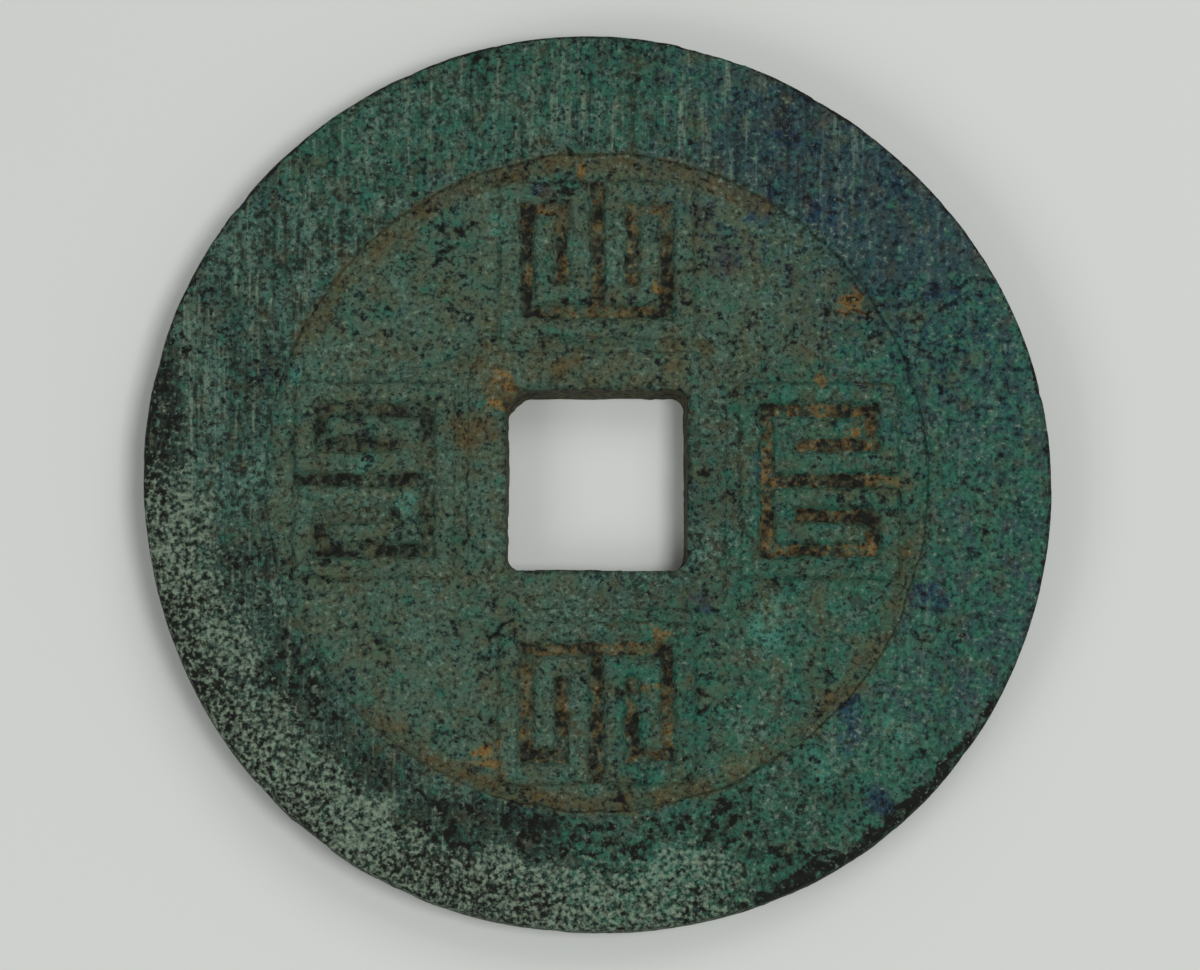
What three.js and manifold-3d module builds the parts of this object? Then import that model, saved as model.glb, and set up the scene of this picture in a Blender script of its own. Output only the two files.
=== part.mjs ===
// A large cast cash coin: one flat bronze casting with a broad raised outer rim, a sunken field,
// a square hole with its own raised rim, and four blocks of squared hook fret standing in the field.
// Millimetres. The origin is the centre of the hole on the plane of the reverse, and +Z is the
// normal of the obverse. +Y is the top of the obverse as the coin is held to be looked at.
import * as THREE from "three";
import { mergeVertices } from "three/addons/utils/BufferGeometryUtils.js";
import Module from "manifold-3d";

// Whole coin
const COIN_DIAMETER = 45.5;
const COIN_THICKNESS = 3.2; // from rim face to rim face
const RIM_WIDTH = 6.1; // flat of the outer rim, the same on both faces
const EDGE_ROUNDING = 0.4; // filed arris between a rim face and the edge
const EDGE_SWELL = 0.1; // the edge is slightly fuller at mid thickness

// Sunken fields
const OBVERSE_FIELD_DEPTH = 0.5; // below the rim face
const REVERSE_FIELD_DEPTH = 0.4;
const RIM_WALL_DRAFT = 0.22; // foot of the rim's inner wall stands this far inside its lip
const RIM_LIP_ROUNDING = 0.1;

// Square hole and the raised rim round it
const HOLE_SIDE = 8.9; // at the reverse, where it is smallest
const HOLE_FLARE = 0.12; // each wall leans out this far from the reverse to the obverse
const HOLE_CORNER = 0.7; // corner radius
const HOLE_RIM_WIDTH = 1.9;
const HOLE_RIM_DRAFT = 0.18;
const HOLE_RIM_DROP = 0.06; // below the outer rim face, so that the outer rim takes the wear

// Hook fret. One half of it is a squared hook, as [column, row] steps of the fret's pitch: it starts
// at the tail in the middle, winds outwards, and ends at the foot beside the hole's rim.
const FRET_HOOK = [[1, 3], [1, 1], [2, 1], [2, 4], [0, 4], [0, 0]];
const FRET_STROKE = 0.9; // width of the stroke on top
const FRET_DRAFT = 0.12; // each side of the stroke is this much wider at its foot
const FRET_DROP = 0.06; // below the outer rim face
const FRET_CLEAR_OF_HOLE_RIM = 0.55; // field showing between the fret and the hole's rim
const FRET_CLEAR_OF_RIM = 0.5; // field showing between the fret's outer corners and the outer rim
const FRET_COUNT = 4;

// The edge was filed round by hand, so its radius swings a little as it goes round.
const EDGE_WAVES = [
  { crests: 2, height: 0.17, firstCrestDeg: -29 },
  { crests: 3, height: 0.08, firstCrestDeg: -13 },
  { crests: 5, height: 0.055, firstCrestDeg: 17 },
];

const TURN_STEPS = 144; // flats in a full turn of the coin
const ARC_STEPS = 4; // flats in a quarter round
const ROOT = 0.4; // how deep each raised feature is let into the blank

const coinRadius = COIN_DIAMETER / 2;
const lipRadius = coinRadius - RIM_WIDTH;
const obverseField = COIN_THICKNESS - OBVERSE_FIELD_DEPTH;
const reverseField = REVERSE_FIELD_DEPTH;

const wasm = await Module();
wasm.setup();

// A closed three.js geometry as a solid that can be joined and cut.
function solid(geometry) {
  const bare = geometry.clone();
  bare.deleteAttribute("normal");
  bare.deleteAttribute("uv");
  const merged = mergeVertices(bare, 1e-4);
  return new wasm.Manifold(new wasm.Mesh({
    numProp: 3,
    vertProperties: merged.attributes.position.array,
    triVerts: new Uint32Array(merged.index.array),
  }));
}

// The solid's triangles as a three.js geometry.
function geometryOf(body) {
  const mesh = body.getMesh();
  const geometry = new THREE.BufferGeometry();
  geometry.setAttribute("position", new THREE.BufferAttribute(mesh.vertProperties, mesh.numProp));
  geometry.setIndex(new THREE.BufferAttribute(mesh.triVerts, 1));
  geometry.computeVertexNormals();
  return geometry;
}

// Points of a rounded corner of the profile, from one angle to another.
function arc(centreX, centreY, radius, fromDeg, toDeg) {
  const curve = new THREE.EllipseCurve(
    centreX, centreY, radius, radius,
    THREE.MathUtils.degToRad(fromDeg), THREE.MathUtils.degToRad(toDeg), toDeg < fromDeg,
  );
  return curve.getPoints(ARC_STEPS);
}

// Half section of the blank, from the axis under the coin, out round the edge and back over the top.
function blankProfile() {
  const r = EDGE_ROUNDING;
  const lip = RIM_LIP_ROUNDING;
  const footRadius = lipRadius - RIM_WALL_DRAFT;
  return [
    new THREE.Vector2(0, reverseField),
    new THREE.Vector2(footRadius, reverseField),
    ...arc(lipRadius + lip, lip, lip, 180, 270),
    ...arc(coinRadius - r, r, r, 270, 360),
    new THREE.Vector2(coinRadius + EDGE_SWELL, COIN_THICKNESS / 2),
    ...arc(coinRadius - r, COIN_THICKNESS - r, r, 0, 90),
    ...arc(lipRadius + lip, COIN_THICKNESS - lip, lip, 90, 180),
    new THREE.Vector2(footRadius, obverseField),
    new THREE.Vector2(0, obverseField),
  ];
}

// How far the filed edge stands out of or inside the true circle, in a direction.
function edgeWave(angle) {
  return EDGE_WAVES.reduce(
    (sum, { crests, height, firstCrestDeg }) =>
      sum + height * Math.cos(crests * (angle - THREE.MathUtils.degToRad(firstCrestDeg))),
    0,
  );
}

// Filing moves the edge and fades out towards the rim's lip, which stays round as it was cast.
function fileEdge(geometry) {
  const position = geometry.attributes.position;
  for (let i = 0; i < position.count; i++) {
    const x = position.getX(i);
    const y = position.getY(i);
    const radius = Math.hypot(x, y);
    const share = (radius - lipRadius) / (coinRadius - lipRadius);
    if (share <= 0) continue;
    const filed = 1 + (share * edgeWave(Math.atan2(y, x))) / radius;
    position.setXY(i, x * filed, y * filed);
  }
  return geometry;
}

// The round blank with both sunken fields, before the hole is made.
function blank() {
  const lathe = new THREE.LatheGeometry(blankProfile(), TURN_STEPS);
  return solid(fileEdge(lathe.rotateX(Math.PI / 2)));
}

// A square outline with round corners, centred on the origin.
function roundedSquare(side, corner) {
  const half = side / 2;
  const inner = half - corner;
  const outline = new THREE.Shape();
  outline.absarc(inner, inner, corner, 0, Math.PI / 2);
  outline.absarc(-inner, inner, corner, Math.PI / 2, Math.PI);
  outline.absarc(-inner, -inner, corner, Math.PI, 1.5 * Math.PI);
  outline.absarc(inner, -inner, corner, 1.5 * Math.PI, 2 * Math.PI);
  return outline;
}

// A raised feature with drafted sides: its top has the outline given, at the level given, and its
// root goes into the blank below the field.
function boss(outline, field, top, draft) {
  const height = top - field;
  const geometry = new THREE.ExtrudeGeometry(outline, {
    depth: ROOT,
    bevelThickness: height,
    bevelSize: draft,
    bevelSegments: 1,
    curveSegments: ARC_STEPS,
  });
  return geometry.translate(0, 0, field - ROOT);
}

// The same feature on the reverse, with its top facing down.
function bossBelow(outline, field, top, draft) {
  return boss(outline, -field, -top, draft).rotateX(Math.PI);
}

// Raised rim round the hole, on both faces. It is solid here, because the hole is cut last.
function holeRims() {
  const outline = roundedSquare(HOLE_SIDE + 2 * HOLE_RIM_WIDTH, HOLE_CORNER + HOLE_RIM_WIDTH / 2);
  const obverse = boss(outline, obverseField, COIN_THICKNESS - HOLE_RIM_DROP, HOLE_RIM_DRAFT);
  const reverse = bossBelow(outline, reverseField, HOLE_RIM_DROP, HOLE_RIM_DRAFT);
  return solid(obverse).add(solid(reverse));
}

// What is filed out of the middle: a square bar that widens evenly towards the obverse.
function holeCutter() {
  const over = 1; // runs this far past both faces
  const bar = new THREE.ExtrudeGeometry(roundedSquare(HOLE_SIDE, HOLE_CORNER), {
    depth: COIN_THICKNESS + 2 * over,
    bevelEnabled: false,
    curveSegments: ARC_STEPS,
  }).translate(0, 0, -over);
  const position = bar.attributes.position;
  for (let i = 0; i < position.count; i++) {
    const lean = (HOLE_FLARE * position.getZ(i)) / COIN_THICKNESS;
    const widened = 1 + lean / (HOLE_SIDE / 2);
    position.setXY(i, position.getX(i) * widened, position.getY(i) * widened);
  }
  return solid(bar);
}

const lastRow = Math.max(...FRET_HOOK.map(([, row]) => row));
const lastColumn = 2 * Math.max(...FRET_HOOK.map(([column]) => column)) + 1;
const fretFoot = HOLE_SIDE / 2 + HOLE_FLARE + HOLE_RIM_WIDTH + HOLE_RIM_DRAFT + FRET_CLEAR_OF_HOLE_RIM;

// The widest pitch at which the fret's two outer corners still keep clear of the outer rim: the
// positive root of (near + lastRow p)^2 + (side + lastColumn p / 2)^2 = reach^2.
function fretPitch() {
  const reach = lipRadius - RIM_WALL_DRAFT - FRET_CLEAR_OF_RIM;
  const near = fretFoot + FRET_STROKE;
  const side = FRET_STROKE / 2;
  const a = lastRow ** 2 + (lastColumn / 2) ** 2;
  const b = lastRow * near + (lastColumn / 2) * side;
  const c = near ** 2 + side ** 2 - reach ** 2;
  return (Math.sqrt(b * b - a * c) - b) / a;
}

// Outline of a square-cornered stroke of even width along a path of right-angled turns.
function strokeOutline(path, width) {
  const half = width / 2;
  const ways = path.slice(1).map((point, i) => point.clone().sub(path[i]).normalize());
  const side = (sign) => path.map((point, i) => {
    const before = ways[Math.max(i - 1, 0)];
    const after = ways[Math.min(i, ways.length - 1)];
    const across = new THREE.Vector2(-before.y, before.x);
    const corner = point.clone().addScaledVector(across, sign * half);
    if (i === 0) return corner.addScaledVector(after, -half);
    if (i === path.length - 1) return corner.addScaledVector(before, half);
    return corner.addScaledVector(new THREE.Vector2(-after.y, after.x), sign * half);
  });
  return new THREE.Shape([...side(1), ...side(-1).reverse()]);
}

// One block of fret above the hole: the hook and its mirror image in one unbroken stroke.
function fret() {
  const pitch = fretPitch();
  const mirrored = FRET_HOOK.map(([column, row]) => [lastColumn - column, row]).reverse();
  const path = [...FRET_HOOK, ...mirrored].map(([column, row]) => new THREE.Vector2(
    (column - lastColumn / 2) * pitch,
    fretFoot + FRET_STROKE / 2 + row * pitch,
  ));
  const outline = strokeOutline(path, FRET_STROKE);
  return boss(outline, obverseField, COIN_THICKNESS - FRET_DROP, FRET_DRAFT);
}

// The four blocks, each with its foot towards the hole.
function frets() {
  const blocks = [];
  for (let k = 0; k < FRET_COUNT; k++) {
    blocks.push(solid(fret().rotateZ((2 * Math.PI * k) / FRET_COUNT)));
  }
  return blocks;
}

// The whole casting in one piece, as it comes from the mould and the file.
function castCoin() {
  let body = blank().add(holeRims());
  for (const block of frets()) body = body.add(block);
  return geometryOf(body.subtract(holeCutter()));
}

const patinatedBronze = new THREE.MeshStandardMaterial({
  name: "patinated_bronze",
  color: 0x3f6a5c,
  roughness: 0.85,
  metalness: 0.15,
});

const coin = new THREE.Mesh(castCoin(), patinatedBronze);
coin.name = "cast_coin";

const part = new THREE.Group();
part.name = "cash_coin";
part.add(coin);

export default part;
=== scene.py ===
"""A large cast bronze cash coin under a burial patina, dressed for rendering round its CAD solid.

The coin is one casting. Its skin is modelled as four closed bodies that meet in natural creases: the broad
outer rim, the obverse field with its hook fret, the bare reverse field, and the raised rim round the hole.
"""

import math
from collections import namedtuple

import bmesh
import bpy
from mathutils import Matrix, Vector, noise


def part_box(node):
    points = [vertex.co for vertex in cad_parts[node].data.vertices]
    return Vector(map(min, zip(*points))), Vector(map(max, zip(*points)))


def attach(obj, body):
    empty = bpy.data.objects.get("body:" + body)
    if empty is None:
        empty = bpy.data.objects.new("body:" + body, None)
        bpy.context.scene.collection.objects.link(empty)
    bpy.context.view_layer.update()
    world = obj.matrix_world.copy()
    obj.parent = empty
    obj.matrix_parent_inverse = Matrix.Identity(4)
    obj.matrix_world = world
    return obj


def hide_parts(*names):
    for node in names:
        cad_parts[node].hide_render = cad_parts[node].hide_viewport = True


bl_info = {
    "name": "Cast cash coin",
    "version": (1, 0, 0),
    "blender": (4, 5, 0),
    "location": "3D View > Sidebar > Coin",
    "description": "Builds a patinated cast bronze cash coin with a square hole and hook fret",
    "category": "Add Mesh",
}

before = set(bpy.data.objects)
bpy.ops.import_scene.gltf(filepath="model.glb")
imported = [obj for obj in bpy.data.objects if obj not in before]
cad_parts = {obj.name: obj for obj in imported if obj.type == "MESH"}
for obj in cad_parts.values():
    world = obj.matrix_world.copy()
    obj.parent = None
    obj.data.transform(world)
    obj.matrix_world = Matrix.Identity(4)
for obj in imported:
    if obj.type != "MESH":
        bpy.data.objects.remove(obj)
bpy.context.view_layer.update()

MM = 0.001
NODE = "cast_coin"

# The CAD solid gives the thickness and the plane that the coin rests on.
COIN_LOW, COIN_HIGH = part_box(NODE)
THICKNESS = (COIN_HIGH[2] - COIN_LOW[2]) / MM

# Hand-filed edge: how many crests go round, how high each is in millimetres, and where the first one is.
EDGE_WAVES = ((2, 0.17, -29.0), (3, 0.08, -13.0), (5, 0.055, 17.0))

# Camera in millimetres, and its lens on a 36 mm sensor.
CAMERA_PLACE = (-2.6, -22.1, 198.5)
CAMERA_AIM = (0.15, -0.28)
CAMERA_LENS = 117.5

# One half of the fret's stroke as column and row steps of its pitch, from the tail in the middle to the foot.
FRET_HOOK = ((1, 3), (1, 1), (2, 1), (2, 4), (0, 4), (0, 0), (2.5, 0))
FRET_COLUMNS = 5
FRET_ROWS = 4

# Noise of one kind: its grain in millimetres, its height in millimetres or as a share, and its seed.
Noise = namedtuple("Noise", "grain height seed")
SWELL = Noise(3.4, 0.018, 1.0)  # unevenness that the sand mould left
PITS = Noise(0.75, 0.030, 5.0)
CRUST = Noise(1.6, 0.030, 9.0)
GRIT = Noise(0.28, 0.012, 13.0)
LACUNAE = Noise(0.9, 0.035, 21.0)  # where the green has come away and the black oxide shows
NICKS = Noise(2.2, 0.07, 33.0)
WORN_LIP = Noise(1.9, 0.12, 41.0)
EATEN_STROKE = Noise(1.0, 0.13, 55.0)
FRAYED_STROKE = Noise(0.3, 0.05, 61.0)
LOW_STROKE = Noise(2.4, 0.5, 71.0)  # share of the relief that is worn away
LOOSE_EARTH = Noise(0.8, 0.10, 81.0)
HOLLOW_SHADE = Noise(1.5, 0.22, 83.0)  # how much more painted shade, in the oxide's black, some parts of a recess get than others
MISSING_EARTH = Noise(1.9, 0.5, 87.0)  # share of the packed earth that has dropped out
HOLE_WALL = Noise(1.4, 0.05, 91.0)
DRIFT_X = (Noise(2.1, 1.1, 101.0), Noise(0.8, 0.5, 103.0))  # these bend the outlines of the patches
DRIFT_Y = (Noise(2.1, 1.1, 107.0), Noise(0.8, 0.5, 109.0))
CLOUD = Noise(3.2, 0.10, 113.0)  # thins and thickens all of the patina

# File strokes on the rim, in millimetres, and how far they lean on the left of the coin, in degrees.
FILE_WIDTH, FILE_LENGTH, FILE_DEPTH, FILE_SEED = 0.22, 5.0, 0.016, 3.0
FILE_LEAN = 12

# The skin's height in the fields and on the edge, over its height on the rim, and how far its middle level
# lies below the clean casting, in millimetres.
FIELD_SKIN = 1.25
EDGE_SKIN = 0.45
SKIN_SINK = 0.012

FACES_UP = 0.7  # a face whose normal rises more than this belongs to the coin's top

# Patches in the patina, in millimetres from the middle of the hole: x, y, radius.
AZURITE_SPOTS = (
    (15.5, 14.8, 1.3), (11.7, 13.6, 2.4), (9.8, 17.8, 2.2), (8.2, 13.9, 2.0), (5.2, -6.3, 1.1),
    (12.7, -12.1, 2.2), (16.8, -5.6, 1.7), (5.9, 11.1, 1.6), (-3.4, 14.8, 1.1), (8.4, 0.4, 1.5),
    (14.3, -16.1, 1.2), (17.6, 9.4, 1.8),
)
TURQUOISE_SPOTS = (
    (-11.4, 1.4, 2.0), (-9.6, -1.2, 1.5), (-11.9, 0.0, 1.4), (-3.6, 15.7, 0.9), (-4.9, 13.1, 0.9),
    (-15.3, 5.4, 1.2), (8.6, -7.2, 2.4), (11.2, -14.4, 2.2), (15.6, -12.6, 1.8), (3.5, -19.5, 2.6),
)
HOLE_STAIN = ((-5.2, 4.9, 2.6), (-5.8, 2.4, 1.8), (-2.4, 5.4, 1.6))
ORANGE_SPOTS = (
    (-4.7, 4.9, 1.0), (-5.3, 3.6, 0.8), (12.9, 9.2, 1.3), (11.8, 5.4, 0.8), (13.2, 2.2, 0.8),
    (2.9, -8.1, 1.0), (3.1, -10.4, 0.8), (-0.6, 15.0, 1.0), (3.0, 9.9, 0.8), (-5.5, -13.8, 1.6),
)


def linear(code):
    """An sRGB hex colour as linear red, green and blue."""
    parts = [int(code[i:i + 2], 16) / 255 for i in (1, 3, 5)]
    return tuple(p / 12.92 if p <= 0.04045 else ((p + 0.055) / 1.055) ** 2.4 for p in parts)


def length(name, description, millimetres):
    """A size property whose default is given in millimetres."""
    return bpy.props.FloatProperty(
        name=name, description=description, default=millimetres * MM, min=0.0, precision=5, unit="LENGTH"
    )


def colour(name, description, code):
    """A colour property whose default is given as an sRGB hex value."""
    return bpy.props.FloatVectorProperty(
        name=name, description=description, default=linear(code), min=0.0, max=1.0, size=3, subtype="COLOR"
    )


class CoinSizes(bpy.types.PropertyGroup):
    """The casting's sizes."""

    diameter: length("Diameter", "Across the filed edge", 45.5)
    rim_width: length("Rim width", "Flat of the outer rim", 6.1)
    edge_rounding: length("Edge rounding", "Filed arris between a rim face and the edge", 0.4)
    edge_swell: length("Edge swell", "How much fuller the edge is at mid thickness", 0.1)
    wall_draft: length("Wall draft", "Slope of the rim's inner wall", 0.22)
    lip_rounding: length("Lip rounding", "Worn corner of the rim's inner lip", 0.1)
    obverse_depth: length("Obverse depth", "Field below the rim face on the obverse", 0.5)
    reverse_depth: length("Reverse depth", "Field below the rim face on the reverse", 0.4)
    hole_side: length("Hole side", "Width of the square hole at the reverse", 8.9)
    hole_flare: length("Hole flare", "How far each hole wall leans out towards the obverse", 0.12)
    hole_corner: length("Hole corner", "Corner radius of the hole", 0.7)
    hole_rim_width: length("Hole rim width", "Width of the raised rim round the hole", 1.9)
    hole_rim_draft: length("Hole rim draft", "Slope of the hole rim's outer wall", 0.18)
    relief_drop: length("Relief drop", "Fret and hole rim below the outer rim's face", 0.06)
    fret_stroke: length("Fret stroke", "Width of the fret's stroke on top", 0.9)
    fret_draft: length("Fret draft", "Slope of each side of the stroke", 0.12)
    fret_from_hole_rim: length("Fret to hole rim", "Field showing between them", 0.55)
    fret_from_rim: length("Fret to outer rim", "Field showing at the fret's outer corners", 0.5)


class PatinaColours(bpy.types.PropertyGroup):
    """The colours of the corrosion products and of the earth in them."""

    teal_dark: colour("Dark teal", "Thin even patina, darker grains", "#0F241D")
    teal_light: colour("Light teal", "Thin even patina, lighter grains", "#507164")
    olive: colour("Olive", "Dusty olive green of the fields", "#435C4C")
    slate: colour("Slate", "Blue-grey patina on the right of the rim", "#294145")
    malachite: colour("Malachite", "Clear green mineral patches", "#285C4B")
    azurite: colour("Azurite", "Deep blue mineral patches", "#0F3047")
    # this black also paints shade into the fret's recesses and onto the hole's walls
    tenorite: colour("Tenorite", "Black-brown oxide where the green has come away", "#0D100B")
    mint: colour("Mint", "Pale green powder in specks", "#71826F")
    turquoise: colour("Turquoise", "Light crust", "#417868")
    ochre: colour("Ochre", "Dried earth along the creases", "#50472B")
    orange: colour("Orange", "Rusty earth in the recesses", "#74592C")
    floor: colour("Floor", "Plain pale floor", "#CDD0CC")


def smooth(start, end, value):
    """0 before start, 1 after end, and an even S curve between them."""
    share = min(max((value - start) / (end - start), 0.0), 1.0)
    return share * share * (3 - 2 * share)


def arc_window(angle, start, end, soft):
    """1 between two bearings in degrees, fading to 0 over soft degrees outside them."""
    middle = (start + end) / 2
    off = abs((angle - middle + 180) % 360 - 180) - (end - start) / 2
    return 1 - smooth(0, soft, off)


def spots(places, x, y):
    """How deep a point is inside the nearest of some round patches: 1 in the middle, 0 outside."""
    best = 0.0
    for centre_x, centre_y, radius in places:
        best = max(best, 1 - smooth(0.2, 1.25, math.hypot(x - centre_x, y - centre_y) / radius))
    return best


def even(kind, x, y, z=0.0):
    """Noise of one grain size, from -1 to 1."""
    grain, seed = kind.grain, kind.seed
    return noise.noise(Vector((x / grain + seed, y / grain - 2.7 * seed, z / grain + 0.3 * seed)))


def rough(kind, x, y, z=0.0):
    """Noise with three finer grains added, from about -1 to 1."""
    grain, seed = kind.grain, kind.seed
    return noise.fractal(Vector((x / grain + seed, y / grain + 1.9 * seed, z / grain)), 1.0, 2.0, 4)


def millimetre_sizes():
    """The sizes as plain numbers in millimetres."""
    sizes = bpy.context.scene.coin_sizes
    return {name: getattr(sizes, name) / MM for name in CoinSizes.__annotations__}


def edge_wave(angle):
    """How far the filed edge stands out of the true circle, in millimetres, for an angle in radians."""
    return sum(high * math.cos(count * (angle - math.radians(first))) for count, high, first in EDGE_WAVES)


def patina_masks(x, y, z, recess=0.0, grains_and_crevice_shade=0.36):
    """Where each mineral lies at a point in millimetres, and where shade is painted into the creases, as
    shares from 0 to 1.

    Bearings are in degrees, with 0 at the coin's right and 90 at its top, and radii are in millimetres.
    About half of the surface is covered where a share is one half, and almost none below a third.
    """
    true_radius = math.hypot(x, y)
    x += sum(kind.height * even(kind, x, y) for kind in DRIFT_X)
    y += sum(kind.height * even(kind, x, y) for kind in DRIFT_Y)
    radius = math.hypot(x, y)
    angle = math.degrees(math.atan2(y, x))
    cloud = CLOUD.height * rough(CLOUD, x, y)
    on_obverse = smooth(THICKNESS * 0.3, THICKNESS * 0.8, z)
    on_rim = smooth(15.9, 17.6, radius)
    in_field = 1 - on_rim
    black = cloud + max(
        0.58 * arc_window(angle, 172, 262, 34) * smooth(18.0, 21.8, radius),
        0.49 * arc_window(angle, 196, 262, 26) * on_rim,
        0.60 * arc_window(angle, 292, 330, 12) * smooth(21.3, 22.4, true_radius + cloud * 4),
        0.47 * arc_window(angle, 262, 302, 14) * on_rim,
        0.55 * smooth(22.1, 22.7, true_radius),
        0.42 * arc_window(angle, 84, 124, 12) * smooth(20.4, 22.2, radius),
        0.38,
    )
    powder = max(0.46 * arc_window(angle, 186, 282, 30) * smooth(16.6, 20.2, radius), 0.33)
    green = cloud + max(
        0.54 * arc_window(angle, 268, 350, 20) * on_rim,
        0.50 * arc_window(angle, 74, 132, 18) * on_rim,
        0.54 * arc_window(angle, -80, 25, 25) * smooth(5, 8, radius),
        0.40,
    )
    lip_band = smooth(14.7, 16.1, true_radius) * (1 - smooth(16.5, 17.4, true_radius))
    above_hole = smooth(4.3, 4.9, y) * (1 - smooth(6.6, 7.6, y)) * (1 - smooth(5.6, 7.4, abs(x)))
    earth = 0.6 * cloud + max(
        0.54 * lip_band * max(arc_window(angle, 62, 150, 14), arc_window(angle, 232, 345, 18)),
        0.47 * above_hole,
        0.60 * spots(HOLE_STAIN, x, y),
        0.46 * recess,
        0.36 * in_field,
        0.28,
    )
    rusty_earth = max(
        0.55 * spots(ORANGE_SPOTS, x, y),
        0.46 * recess * arc_window(angle, -125, 110, 20),
        0.51 * recess * arc_window(angle, -30, 30, 10),
    )
    blue = cloud + max(
        0.56 * spots(AZURITE_SPOTS, x, y),
        0.42 * arc_window(angle, 12, 78, 22) * smooth(9.0, 14.0, radius),
        0.34,
    )
    return {
        "tenorite": black,
        "mint": powder - 0.5 * cloud,
        "malachite": green,
        "azurite": blue * on_obverse,
        "turquoise": max(0.52 * spots(TURQUOISE_SPOTS, x, y), 0.34) * on_obverse,
        "ochre": earth,
        "orange": rusty_earth * (0.4 + 0.6 * on_obverse),
        "olive": in_field * (0.42 + 0.18 * arc_window(angle, 60, 250, 40)) + cloud,
        "slate": 0.8 * arc_window(angle, -28, 60, 28) * smooth(15.0, 18.5, radius),
        "filed_upright": on_rim * max(arc_window(angle, 60, 168, 20), 0.35),
        "filed_leaning": on_rim * arc_window(angle, 165, 245, 20),
        # dark grains all over, with painted shade added in the fret's recesses and on the hole's walls
        "grains_and_crevice_shade": grains_and_crevice_shade,
    }


def skin(x, y, z):
    """Height of the corroded skin over the clean casting, in millimetres."""
    swell = SWELL.height * even(SWELL, x, y, z)
    pits = PITS.height * smooth(0.18, 0.55, rough(PITS, x, y, z))
    crust = CRUST.height * smooth(0.10, 0.24, rough(CRUST, x, y, z))
    grit = GRIT.height * even(GRIT, x, y, z)
    return swell - pits + crust + grit


def file_marks(x, y):
    """Height of the file strokes on the rim, in millimetres: upright, and leaning on the left."""
    bearing = math.degrees(math.atan2(y, x))
    lean = math.radians(FILE_LEAN) * arc_window(bearing, 165, 245, 15)
    across = x * math.cos(lean) + y * math.sin(lean)
    along = y * math.cos(lean) - x * math.sin(lean)
    return FILE_DEPTH * noise.noise(Vector((across / FILE_WIDTH, along / FILE_LENGTH, FILE_SEED)))


def new_bmesh():
    """An empty bmesh and its layers for the patina's masks, which hold one number for each point."""
    bm = bmesh.new()
    return bm, {mask: bm.verts.layers.float.new(mask) for mask in patina_masks(0.0, 0.0, 0.0)}


def set_masks(vert, layers, masks):
    """Writes a point's masks to its layers."""
    for mask, share in masks.items():
        vert[layers[mask]] = share


def new_piece(name, bm):
    """Makes the finished bmesh an object that stands for the casting."""
    bmesh.ops.recalc_face_normals(bm, faces=bm.faces)
    for face in bm.faces:
        face.smooth = True
    mesh = bpy.data.meshes.new(name)
    bm.to_mesh(mesh)
    bm.free()
    mesh.materials.append(patina_material())
    piece = bpy.data.objects.new(name, mesh)
    bpy.context.scene.collection.objects.link(piece)
    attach(piece, "root")
    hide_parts(NODE)
    return piece


def stepped(runs):
    """Points along a closed line. Each run is some corners and the spacing of the points after each."""
    corners = [(corner, spacing) for run, spacing in runs for corner in run]
    points = []
    for (start, spacing), (end, _) in zip(corners, corners[1:] + corners[:1]):
        steps = max(1, round(math.dist(start, end) / spacing))
        for i in range(steps):
            points.append(tuple(a + i / steps * (b - a) for a, b in zip(start, end)))
    return points


def quarter(centre_x, centre_y, radius, start, count=4):
    """Points on a quarter round of a profile, from a starting bearing in degrees, turning left."""
    turns = [math.radians(start + 90 * i / count) for i in range(count + 1)]
    return [(centre_x + radius * math.cos(turn), centre_y + radius * math.sin(turn)) for turn in turns]


def outer_rim_section(s):
    """The rim's section as points of radius and height, from the foot of the edge up and back round."""
    radius = s["diameter"] / 2
    lip = radius - s["rim_width"]
    foot = lip - s["wall_draft"]
    arris = s["edge_rounding"]
    soft = s["lip_rounding"]
    root = 0.5  # how far the rim's root reaches in under the fields, out of sight
    edge, face, underside, hidden = 0.2, 0.14, 0.32, 3.0  # spacing of the points
    lower = quarter(radius - arris, arris, arris, 270)
    middle = [(radius + s["edge_swell"], THICKNESS / 2)]
    upper = quarter(radius - arris, THICKNESS - arris, arris, 0)
    lip_over = quarter(lip + soft, THICKNESS - soft, soft, 90, 3)
    lip_under = quarter(lip + soft, soft, soft, 180, 3)
    obverse, reverse = THICKNESS - s["obverse_depth"], s["reverse_depth"]
    return stepped([
        (lower + middle + upper[:-1], edge),
        (upper[-1:] + lip_over, face),
        ([(foot, obverse), (foot - root, obverse - root), (foot - root, reverse + root)], hidden),
        ([(foot, reverse)] + lip_under[:-1], face),
        (lip_under[-1:], underside),
    ])


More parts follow.
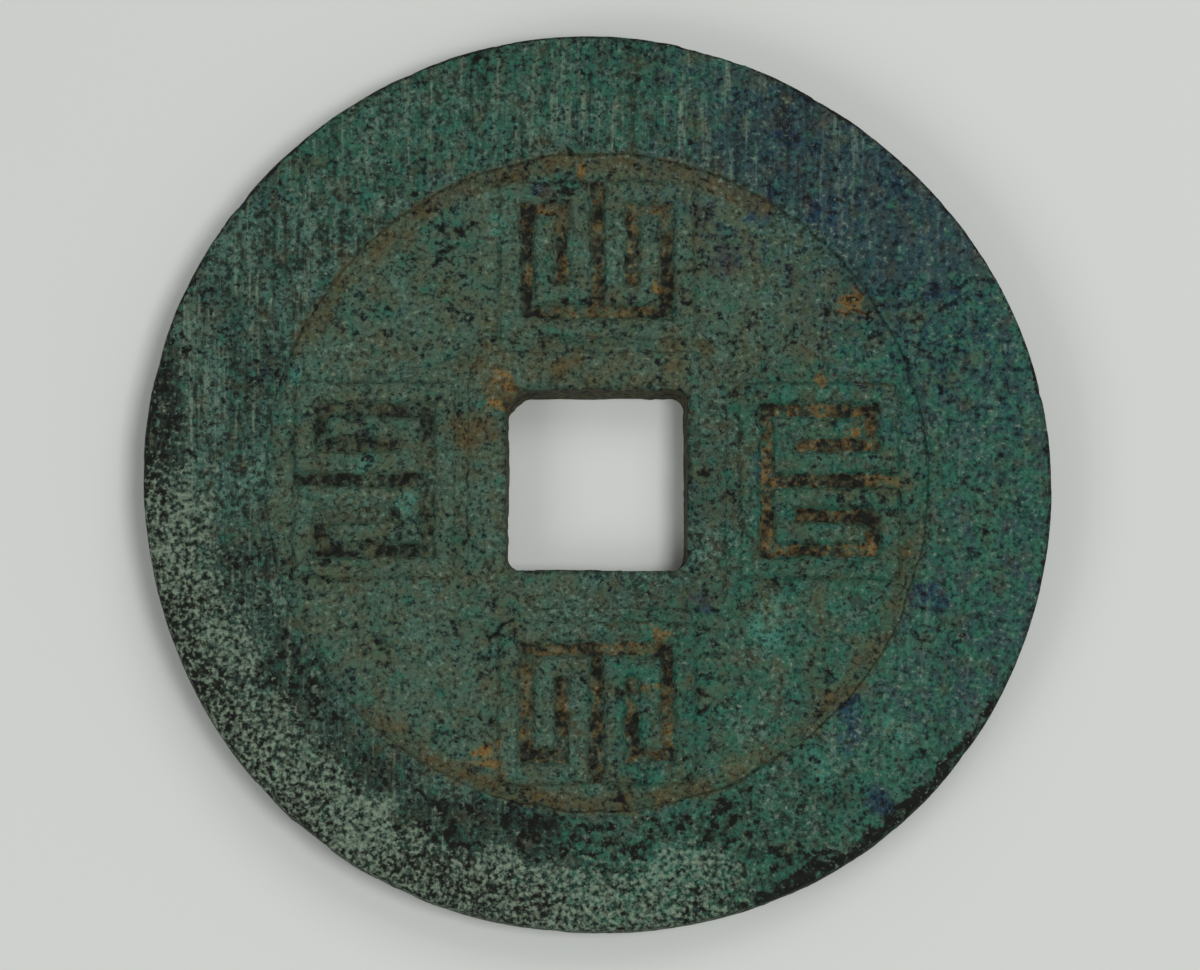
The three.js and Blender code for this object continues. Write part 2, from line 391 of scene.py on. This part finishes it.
def outer_rim():
    """The broad flat rim: its section is spun round the axis, filed out of round, and corroded."""
    s = millimetre_sizes()
    lip = s["diameter"] / 2 - s["rim_width"]
    bm, layers = new_bmesh()
    points = [bm.verts.new((x * MM, 0, z * MM)) for x, z in outer_rim_section(s)]
    edges = [bm.edges.new(pair) for pair in zip(points, points[1:] + points[:1])]
    bmesh.ops.spin(
        bm, geom=points + edges, cent=(0, 0, 0), axis=(0, 0, 1), angle=math.tau,
        steps=720, use_merge=True, use_duplicate=False,
    )
    bmesh.ops.remove_doubles(bm, verts=bm.verts, dist=1e-7)
    bmesh.ops.recalc_face_normals(bm, faces=bm.faces)
    bm.normal_update()
    for vert in bm.verts:
        x, y, z = (c / MM for c in vert.co)
        reach = math.hypot(x, y)
        share = max(0.0, (reach - lip) / s["rim_width"])  # 0 at the lip, 1 at the edge
        masks = patina_masks(x, y, z)
        height = skin(x, y, z)
        if vert.normal.z > FACES_UP:
            gone = LACUNAE.height * smooth(0.0, 0.3, rough(LACUNAE, x, y, z))
            height += file_marks(x, y) - gone * masks["tenorite"]
        elif vert.normal.z < -FACES_UP:
            height = -abs(height)
        else:
            height *= EDGE_SKIN
        nicks = NICKS.height * smooth(0.95, 1.0, share) * smooth(0.15, 0.6, rough(NICKS, x, y, z))
        worn_lip = WORN_LIP.height * (1 - smooth(0.0, 0.12, share)) * rough(WORN_LIP, x, y)
        filed = 1 + (share * edge_wave(math.atan2(y, x)) - nicks + worn_lip) / reach
        vert.co = Vector((x * filed, y * filed, z)) * MM + vert.normal * (height - SKIN_SINK) * MM
        set_masks(vert, layers, masks)
    return new_piece("outer_rim", bm)


def fret_foot(s):
    """How far the fret's foot stands from the middle of the hole."""
    hole_rim_foot = s["hole_side"] / 2 + s["hole_flare"] + s["hole_rim_width"] + s["hole_rim_draft"]
    return hole_rim_foot + s["fret_from_hole_rim"]


def fret_pitch(s):
    """The widest pitch at which the fret's outer corners keep clear of the outer rim."""
    reach = s["diameter"] / 2 - s["rim_width"] - s["wall_draft"] - s["fret_from_rim"]
    near = fret_foot(s) + s["fret_stroke"]
    side = s["fret_stroke"] / 2
    a = FRET_ROWS ** 2 + (FRET_COLUMNS / 2) ** 2
    b = FRET_ROWS * near + FRET_COLUMNS / 2 * side
    c = near ** 2 + side ** 2 - reach ** 2
    return (math.sqrt(b * b - a * c) - b) / a


def fret_strokes(s):
    """The straight stretches of half a fret block as rectangles: low x, low y, high x, high y."""
    pitch = fret_pitch(s)
    half = s["fret_stroke"] / 2
    turns = [
        ((FRET_COLUMNS / 2 - column) * pitch, fret_foot(s) + half + row * pitch)
        for column, row in FRET_HOOK
    ]
    return [
        (min(a[0], b[0]) - half, min(a[1], b[1]) - half, max(a[0], b[0]) + half, max(a[1], b[1]) + half)
        for a, b in zip(turns, turns[1:])
    ]


def fret_distance(x, y, strokes):
    """How far a point lies outside the nearest stroke, less than 0 inside one, and its place in its block."""
    across, out = sorted((abs(x), abs(y)))
    nearest = min(
        max(low_x - across, across - high_x, low_y - out, out - high_y)
        for low_x, low_y, high_x, high_y in strokes
    )
    return nearest, across, out


def field(name, spacing, level, s, surface):
    """A closed plate under one field: a square grid cut to a ring, raised to its relief, and closed below.

    surface gives the height over the field's level and the patina's masks for a point in millimetres.
    """
    inner = s["hole_side"] / 2 + 1.0  # under the hole's rim, out of sight
    reach = s["diameter"] / 2 - s["rim_width"] + 0.5  # under the outer rim, out of sight
    count = round(2 * reach / spacing)
    bm, layers = new_bmesh()
    bmesh.ops.create_grid(bm, x_segments=count, y_segments=count, size=reach * MM)
    cut_off = [
        v for v in bm.verts
        if v.co.length > reach * MM or max(abs(v.co.x), abs(v.co.y)) < inner * MM
    ]
    bmesh.ops.delete(bm, geom=cut_off, context="VERTS")
    loose = [v for v in bm.verts if not v.link_faces]
    bmesh.ops.delete(bm, geom=loose, context="VERTS")
    side = 1 if level > THICKNESS / 2 else -1
    for vert in bm.verts:
        height, masks = surface(vert.co.x / MM, vert.co.y / MM)
        vert.co.z = (level + side * height) * MM
        set_masks(vert, layers, masks)
    rims = [e for e in bm.edges if e.is_boundary]
    made = bmesh.ops.extrude_edge_only(bm, edges=rims)["geom"]
    hidden = {g for g in made if isinstance(g, bmesh.types.BMVert)}
    for vert in hidden:
        vert.co.z = THICKNESS / 2 * MM
    closing = [g for g in made if isinstance(g, bmesh.types.BMEdge) and set(g.verts) <= hidden]
    bmesh.ops.bridge_loops(bm, edges=closing)
    return new_piece(name, bm)


def obverse_field():
    """The obverse field with four blocks of hook fret, eroded and packed with earth."""
    s = millimetre_sizes()
    strokes = fret_strokes(s)
    low_y = min(r[1] for r in strokes)
    high_x, high_y = max(r[2] for r in strokes), max(r[3] for r in strokes)
    relief = s["obverse_depth"] - s["relief_drop"]
    level = THICKNESS - s["obverse_depth"]
    lip = s["diameter"] / 2 - s["rim_width"]
    hole_rim_foot = s["hole_side"] / 2 + s["hole_rim_width"] + s["hole_rim_draft"]
    bank = 0.8  # width of the earth packed against a wall

    def surface(x, y):
        eaten = EATEN_STROKE.height * rough(EATEN_STROKE, x, y)
        frayed = FRAYED_STROKE.height * even(FRAYED_STROKE, x, y)
        off, across, out = fret_distance(x, y, strokes)
        stroke = 1 - smooth(-0.10, s["fret_draft"] + 0.08, off + eaten + frayed)
        in_block = 1 - smooth(0, 0.3, across - high_x)
        in_block *= smooth(-0.3, 0, out - low_y) * (1 - smooth(0, 0.3, out - high_y))
        recess = in_block * (1 - stroke)
        worn = 1 - LOW_STROKE.height * smooth(0.0, 0.6, rough(LOW_STROKE, x, y))
        loose = LOOSE_EARTH.height * recess * smooth(0.0, 0.5, rough(LOOSE_EARTH, x, y))
        at_lip = 0.26 * (1 - smooth(0.0, bank, lip - math.hypot(x, y)))
        at_hole_rim = 0.30 * (1 - smooth(0.0, bank, max(abs(x), abs(y)) - hole_rim_foot))
        missing = MISSING_EARTH.height * smooth(0.0, 0.5, rough(MISSING_EARTH, x, y))
        packed = max(at_lip, at_hole_rim) * (1 - missing)
        # painted shade in the fret's recesses, laid on in the oxide's black
        black = recess * (0.40 + HOLLOW_SHADE.height * smooth(-0.4, 0.4, rough(HOLLOW_SHADE, x, y)))
        height = max(relief * stroke * worn, packed) + loose + FIELD_SKIN * skin(x, y, level)
        return height, patina_masks(x, y, THICKNESS, recess, max(black, 0.34))

    return field("obverse_field", 0.104, level, s, surface)


def reverse_field():
    """The bare sunken field of the reverse."""
    s = millimetre_sizes()
    level = s["reverse_depth"]

    def surface(x, y):
        return FIELD_SKIN * skin(x, y, level), patina_masks(x, y, 0.0)

    return field("reverse_field", 0.2, level, s, surface)


def square_point(share, half, corner):
    """A point on a square outline with round corners, for a share of the way round from 0 to 1."""
    side, along = divmod(share * 4, 1)
    straight = half - corner
    bend = 0.12  # share of each side that each of its two half corners takes up
    if along < bend:
        turn = math.radians(-45 * (1 - along / bend))
        x, y = straight + corner * math.cos(turn), -straight + corner * math.sin(turn)
    elif along > 1 - bend:
        turn = math.radians(45 * (along - 1 + bend) / bend)
        x, y = straight + corner * math.cos(turn), straight + corner * math.sin(turn)
    else:
        x, y = half, straight * (2 * (along - bend) / (1 - 2 * bend) - 1)
    return Matrix.Rotation(side * math.pi / 2, 2) @ Vector((x, y))


def hole_rim_section(s, arris):
    """The hole rim's section as points of distance from the hole's wall and height."""
    width = s["hole_rim_width"]
    foot = width + s["hole_rim_draft"]
    top, bottom = THICKNESS - s["relief_drop"], s["relief_drop"]
    obverse, reverse = THICKNESS - s["obverse_depth"], s["reverse_depth"]
    waist = 0.25  # how far the rim's root draws in between the fields, out of sight
    over_hole = quarter(arris, top - arris, arris, 90, 3)
    under_hole = quarter(arris, bottom + arris, arris, 180, 3)
    return stepped([
        (under_hole[:-1], 0.1),
        (under_hole[-1:], 0.25),
        ([(width - arris, bottom)], 0.1),
        ([(width, bottom + arris / 2)], 0.15),
        ([(foot, reverse), (foot - waist, reverse + waist), (foot - waist, obverse - waist)], 3.0),
        ([(foot, obverse)], 0.12),
        ([(width, top - arris / 2)], 0.1),
        ([(width - arris, top)], 0.12),
        (over_hole[:-1], 0.1),
        (over_hole[-1:], 0.14),
    ])


def hole_rim():
    """The raised rim round the hole: its section is carried round a square with round corners."""
    s = millimetre_sizes()
    arris = 0.16  # rounding of the hole's worn corners
    section = hole_rim_section(s, arris)
    count = 400

    def place(i, offset, z):
        half = s["hole_side"] / 2 + s["hole_flare"] * z / THICKNESS + offset
        flat = square_point(i / count, half, s["hole_corner"] + offset / 2)
        return Vector((flat.x, flat.y, z)) * MM

    bm, layers = new_bmesh()
    loop = [bm.verts.new(place(i, *section[0])) for i in range(count)]
    first_edges = [bm.edges.new(pair) for pair in zip(loop, loop[1:] + loop[:1])]
    edges = first_edges
    for offset, z in section[1:]:
        made = bmesh.ops.extrude_edge_only(bm, edges=edges)["geom"]
        fresh = {g for g in made if isinstance(g, bmesh.types.BMVert)}
        edges = [g for g in made if isinstance(g, bmesh.types.BMEdge) and set(g.verts) <= fresh]
        loop = [next(e.other_vert(v) for e in v.link_edges if e.other_vert(v) in fresh) for v in loop]
        for i, vert in enumerate(loop):
            vert.co = place(i, offset, z)
    bmesh.ops.bridge_loops(bm, edges=first_edges + edges)
    bmesh.ops.recalc_face_normals(bm, faces=bm.faces)
    bm.normal_update()
    mouth = s["hole_side"] / 2 + s["hole_flare"] + arris
    for vert in bm.verts:
        x, y, z = (c / MM for c in vert.co)
        in_hole = max(abs(x), abs(y)) < mouth
        height = skin(x, y, z)
        plug = 0.0  # crust that fills the hole's top left corner
        if in_hole:
            height += HOLE_WALL.height * even(HOLE_WALL, x, y, z)
            plug = 0.20 * (1 - smooth(0.2, 0.9, math.hypot(x + 4.3, y - 4.3)))
        if vert.normal.z < -FACES_UP:
            height = -abs(height)
        # the hole's walls get more painted shade than the rest
        masks = patina_masks(x, y, z, grains_and_crevice_shade=0.46 if in_hole else 0.36)
        if in_hole and vert.normal.z < 0.5:
            masks["ochre"] = max(masks["ochre"], 0.58)
            masks["orange"] = max(masks["orange"], 0.38)
        vert.co += vert.normal * height * MM + Vector((plug, -plug, 0)) * MM
        set_masks(vert, layers, masks)
    return new_piece("hole_rim", bm)


def add_node(tree, kind, inputs=None, **settings):
    """Adds a node, sets it, and links or fills its inputs. An input is a value or another node's output."""
    made = tree.nodes.new(kind)
    for name, value in settings.items():
        setattr(made, name, value)
    for name, value in (inputs or {}).items():
        if isinstance(value, bpy.types.NodeSocket):
            tree.links.new(value, made.inputs[name])
        else:
            made.inputs[name].default_value = value
    return made


def speckle(tree, where, size, detail=4.0, stretch=(1.0, 1.0, 1.0), turn=0.0):
    """Noise with grains of a size in millimetres, as a number round one half."""
    mapped = add_node(tree, "ShaderNodeMapping", {
        "Vector": where, "Rotation": (0.0, 0.0, math.radians(turn)), "Scale": stretch,
    })
    return add_node(tree, "ShaderNodeTexNoise", {
        "Vector": mapped.outputs["Vector"], "Scale": 1 / (size * MM), "Detail": detail, "Roughness": 0.62,
    }).outputs["Fac"]


def patch(tree, mask, grains, soft):
    """Breaks a mask on the mesh up into grains: about half is covered where the mask is one half."""
    share = add_node(tree, "ShaderNodeAttribute", attribute_name=mask).outputs["Fac"]
    total = add_node(tree, "ShaderNodeMath", {0: share, 1: grains}, operation="ADD").outputs["Value"]
    return add_node(tree, "ShaderNodeMapRange", {
        "Value": total, "From Min": 1 - soft, "From Max": 1 + soft,
    }).outputs["Result"]


def laid_over(tree, share, under, over):
    """The colour output of one colour laid over another. Either may be a socket or a colour."""
    mix = tree.nodes.new("ShaderNodeMix")
    mix.data_type = "RGBA"
    for socket, value in ((mix.inputs[0], share), (mix.inputs[6], under), (mix.inputs[7], over)):
        if isinstance(value, bpy.types.NodeSocket):
            tree.links.new(value, socket)
        elif isinstance(value, float):
            socket.default_value = value
        else:
            socket.default_value = (*value, 1.0)
    return mix.outputs[2]


def patina_material():
    """Cast bronze under a burial patina: dull, granular, green over black, with earth and painted shade in
    the creases.
    """
    name = "cast bronze, mineral patina"
    if name in bpy.data.materials:
        return bpy.data.materials[name]
    c = bpy.context.scene.patina_colours
    material = bpy.data.materials.new(name)
    material.use_nodes = True
    tree = material.node_tree
    shader = tree.nodes["Principled BSDF"]
    where = add_node(tree, "ShaderNodeTexCoord").outputs["Object"]
    broad = speckle(tree, where, 1.1)
    small = speckle(tree, where, 0.42)
    dust = speckle(tree, where, 0.24, 4.0)
    other = speckle(tree, where, 0.8, 5.0, turn=40.0)
    sandy = speckle(tree, where, 0.36, 3.0, turn=70.0)
    upright = speckle(tree, where, 0.34, 3.0, stretch=(1.0, 0.06, 1.0))
    leaning = speckle(tree, where, 0.30, 3.0, stretch=(1.0, 0.05, 1.0), turn=-FILE_LEAN)

    grains = add_node(tree, "ShaderNodeMapRange", {"Value": small, "From Min": 0.41, "From Max": 0.60})
    tone = laid_over(tree, grains.outputs["Result"], c.teal_dark, c.teal_light)
    tone = laid_over(tree, patch(tree, "olive", sandy, 0.10), tone, c.olive)
    tone = laid_over(tree, patch(tree, "slate", other, 0.30), tone, c.slate)
    tone = laid_over(tree, patch(tree, "malachite", other, 0.09), tone, c.malachite)
    tone = laid_over(tree, patch(tree, "turquoise", small, 0.08), tone, c.turquoise)
    tone = laid_over(tree, patch(tree, "azurite", small, 0.12), tone, c.azurite)
    for marks, mask in ((upright, "filed_upright"), (leaning, "filed_leaning")):
        filed = add_node(tree, "ShaderNodeAttribute", attribute_name=mask).outputs["Fac"]
        for shade, low, high, share in ((c.mint, 0.55, 0.72, 0.75), (c.tenorite, 0.45, 0.30, 0.70)):
            line = add_node(tree, "ShaderNodeMapRange", {
                "Value": marks, "From Min": low, "From Max": high, "To Max": share,
            }).outputs["Result"]
            line = add_node(tree, "ShaderNodeMath", {0: line, 1: filed}, operation="MULTIPLY")
            tone = laid_over(tree, line.outputs["Value"], tone, shade)
    tone = laid_over(tree, patch(tree, "ochre", broad, 0.22), tone, c.ochre)
    tone = laid_over(tree, patch(tree, "orange", small, 0.10), tone, c.orange)
    tone = laid_over(tree, patch(tree, "tenorite", small, 0.07), tone, c.tenorite)
    tone = laid_over(tree, patch(tree, "mint", dust, 0.09), tone, c.mint)
    # dark grains everywhere, and painted shade in the fret's recesses and on the hole's walls
    tone = laid_over(tree, patch(tree, "grains_and_crevice_shade", sandy, 0.16), tone, c.tenorite)
    specks = add_node(tree, "ShaderNodeMapRange", {
        "Value": dust, "From Min": 0.46, "From Max": 0.35, "To Max": 0.85,
    })
    tone = laid_over(tree, specks.outputs["Result"], tone, c.tenorite)
    tree.links.new(tone, shader.inputs["Base Color"])

    dull = add_node(tree, "ShaderNodeMapRange", {
        "Value": small, "From Min": 0.3, "From Max": 0.7, "To Min": 0.70, "To Max": 0.95,
    })
    tree.links.new(dull.outputs["Result"], shader.inputs["Roughness"])
    shader.inputs["Metallic"].default_value = 0.0
    shader.inputs["Specular IOR Level"].default_value = 0.22

    powder = add_node(tree, "ShaderNodeMath", {0: small, 1: dust}, operation="ADD").outputs["Value"]
    bump = add_node(tree, "ShaderNodeBump", {"Strength": 0.8, "Distance": 0.09 * MM, "Height": powder})
    tree.links.new(bump.outputs["Normal"], shader.inputs["Normal"])
    return material


def floor_material():
    """Matt pale card."""
    material = bpy.data.materials.new("pale card, matt")
    material.use_nodes = True
    shader = material.node_tree.nodes["Principled BSDF"]
    shader.inputs["Base Color"].default_value = (*bpy.context.scene.patina_colours.floor, 1.0)
    shader.inputs["Roughness"].default_value = 0.9
    return material


def soft_light(name, place, size, watts):
    """A square soft light that faces the coin. Place and size are in millimetres."""
    lamp = bpy.data.lights.new(name, "AREA")
    lamp.shape = "SQUARE"
    lamp.size = size * MM
    lamp.energy = watts
    holder = bpy.data.objects.new(name, lamp)
    holder.location = Vector(place) * MM
    holder.rotation_euler = (-holder.location).to_track_quat("-Z", "Y").to_euler()
    bpy.context.scene.collection.objects.link(holder)


def camera():
    """Looks down from slightly below the coin, as the photograph does, with the coin's top upwards."""
    place = Vector(CAMERA_PLACE) * MM
    target = Vector((*CAMERA_AIM, THICKNESS)) * MM
    forward = (target - place).normalized()
    right = forward.cross(Vector((0, 1, 0))).normalized()
    up = right.cross(forward)
    lens = bpy.data.cameras.new("camera")
    lens.lens = CAMERA_LENS
    lens.sensor_width = 36
    lens.clip_start, lens.clip_end = 0.005, 10
    holder = bpy.data.objects.new("camera", lens)
    holder.matrix_world = Matrix.Translation(place) @ Matrix((right, up, -forward)).transposed().to_4x4()
    bpy.context.scene.collection.objects.link(holder)
    bpy.context.scene.camera = holder


def stage():
    """Pale floor, three soft lights, an even pale world and the camera."""
    scene = bpy.context.scene
    bm = bmesh.new()
    bmesh.ops.create_grid(bm, x_segments=1, y_segments=1, size=0.6)
    mesh = bpy.data.meshes.new("floor")
    bm.to_mesh(mesh)
    bm.free()
    mesh.materials.append(floor_material())
    floor = bpy.data.objects.new("floor", mesh)
    scene.collection.objects.link(floor)
    soft_light("light_left", (-170, -110, 190), 130, 0.20)
    soft_light("light_right", (110, 150, 240), 150, 0.21)
    soft_light("light_above", (95, -25, 300), 90, 0.42)
    world = bpy.data.worlds.new("pale room")
    world.use_nodes = True
    background = world.node_tree.nodes["Background"]
    background.inputs["Color"].default_value = (1, 1, 1, 1)
    background.inputs["Strength"].default_value = 0.28
    scene.world = world
    scene.view_settings.view_transform = "Standard"
    camera()


class COIN_OT_outer_rim(bpy.types.Operator):
    """Add the broad outer rim"""

    bl_idname = "coin.outer_rim"
    bl_label = "Outer rim"

    def execute(self, context):
        outer_rim()
        return {"FINISHED"}


class COIN_OT_obverse_field(bpy.types.Operator):
    """Add the obverse field with its hook fret"""

    bl_idname = "coin.obverse_field"
    bl_label = "Obverse field"

    def execute(self, context):
        obverse_field()
        return {"FINISHED"}


class COIN_OT_reverse_field(bpy.types.Operator):
    """Add the bare field of the reverse"""

    bl_idname = "coin.reverse_field"
    bl_label = "Reverse field"

    def execute(self, context):
        reverse_field()
        return {"FINISHED"}


class COIN_OT_hole_rim(bpy.types.Operator):
    """Add the raised rim round the square hole"""

    bl_idname = "coin.hole_rim"
    bl_label = "Hole rim"

    def execute(self, context):
        hole_rim()
        return {"FINISHED"}


class COIN_OT_stage(bpy.types.Operator):
    """Add the floor, the lights, the world and the camera"""

    bl_idname = "coin.stage"
    bl_label = "Stage"

    def execute(self, context):
        stage()
        return {"FINISHED"}


OPERATORS = (
    COIN_OT_outer_rim, COIN_OT_obverse_field, COIN_OT_reverse_field, COIN_OT_hole_rim, COIN_OT_stage,
)


class COIN_PT_builder(bpy.types.Panel):
    """Sizes, colours and building steps of the coin"""

    bl_idname = "COIN_PT_builder"
    bl_label = "Cast coin"
    bl_space_type = "VIEW_3D"
    bl_region_type = "UI"
    bl_category = "Coin"

    def draw(self, context):
        for group in (context.scene.coin_sizes, context.scene.patina_colours):
            box = self.layout.box()
            for name in type(group).__annotations__:
                box.prop(group, name)
        for operator in OPERATORS:
            self.layout.operator(operator.bl_idname)


CLASSES = (CoinSizes, PatinaColours, *OPERATORS, COIN_PT_builder)


def register():
    for cls in CLASSES:
        bpy.utils.register_class(cls)
    bpy.types.Scene.coin_sizes = bpy.props.PointerProperty(type=CoinSizes)
    bpy.types.Scene.patina_colours = bpy.props.PointerProperty(type=PatinaColours)


def unregister():
    del bpy.types.Scene.patina_colours
    del bpy.types.Scene.coin_sizes
    for cls in reversed(CLASSES):
        bpy.utils.unregister_class(cls)


def main():
    register()
    bpy.ops.coin.outer_rim()
    bpy.ops.coin.obverse_field()
    bpy.ops.coin.reverse_field()
    bpy.ops.coin.hole_rim()
    bpy.ops.coin.stage()


if __name__ == "__main__":
    main()
